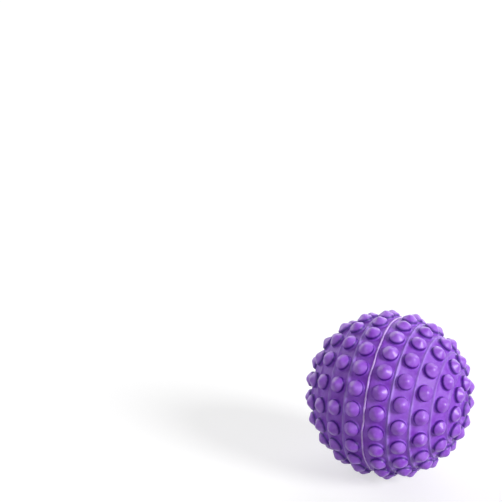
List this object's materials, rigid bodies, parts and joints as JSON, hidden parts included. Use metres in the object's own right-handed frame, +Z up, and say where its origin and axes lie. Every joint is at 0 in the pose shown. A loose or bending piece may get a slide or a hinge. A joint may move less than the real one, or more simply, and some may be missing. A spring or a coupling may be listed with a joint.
{
  "type": "sensory ball",
  "caption": "Hollow nubbed sensory ball of two cemented half shells, with banded sides, rows of blunt pointed nubs and a ringed nub at each pole.",
  "frame": {"origin": "centre of the ball", "axes": "+X through the pole of the right half, +Z up, with the seam standing in the YZ plane and the ball on four nub tips"},
  "size_m": [0.0646, 0.0648, 0.0648],
  "materials": {
    "shell": "matte moulded",
    "bead": "matte, trimmed"
  },
  "bodies": {
    "root": {"right_half": "shell", "left_half": "shell", "seam_bead": "bead"}
  },
  "joints": []
}
